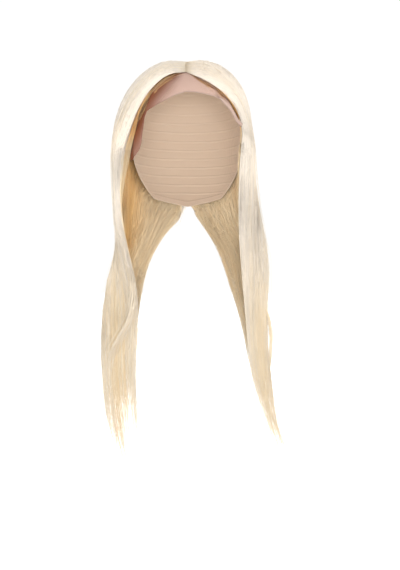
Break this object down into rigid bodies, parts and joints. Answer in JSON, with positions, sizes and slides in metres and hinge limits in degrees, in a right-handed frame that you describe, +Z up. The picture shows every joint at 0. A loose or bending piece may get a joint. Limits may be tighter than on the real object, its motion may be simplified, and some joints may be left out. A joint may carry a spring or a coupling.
{
  "type": "lace front wig",
  "caption": "Lace-front wig with a centre parting and long straight pale blonde hair that falls forward over both shoulders, kept in its worn form.",
  "frame": {"origin": "the point inside the crown of the cap that rests on the top of the head", "axes": "+Z up, the face looks along -Y, +X to the right as seen from the front"},
  "size_m": [0.2262, 0.1949, 0.5247],
  "materials": {
    "lace": "sheer flesh-pink net",
    "cap_cloth": "matt beige stretch net with sewn rows",
    "hair": "silky pale blonde straight hair"
  },
  "bodies": {
    "root": {"lace_front": "lace", "cap_base": "cap_cloth", "hair_left": "hair", "hair_right": "hair"}
  },
  "joints": []
}
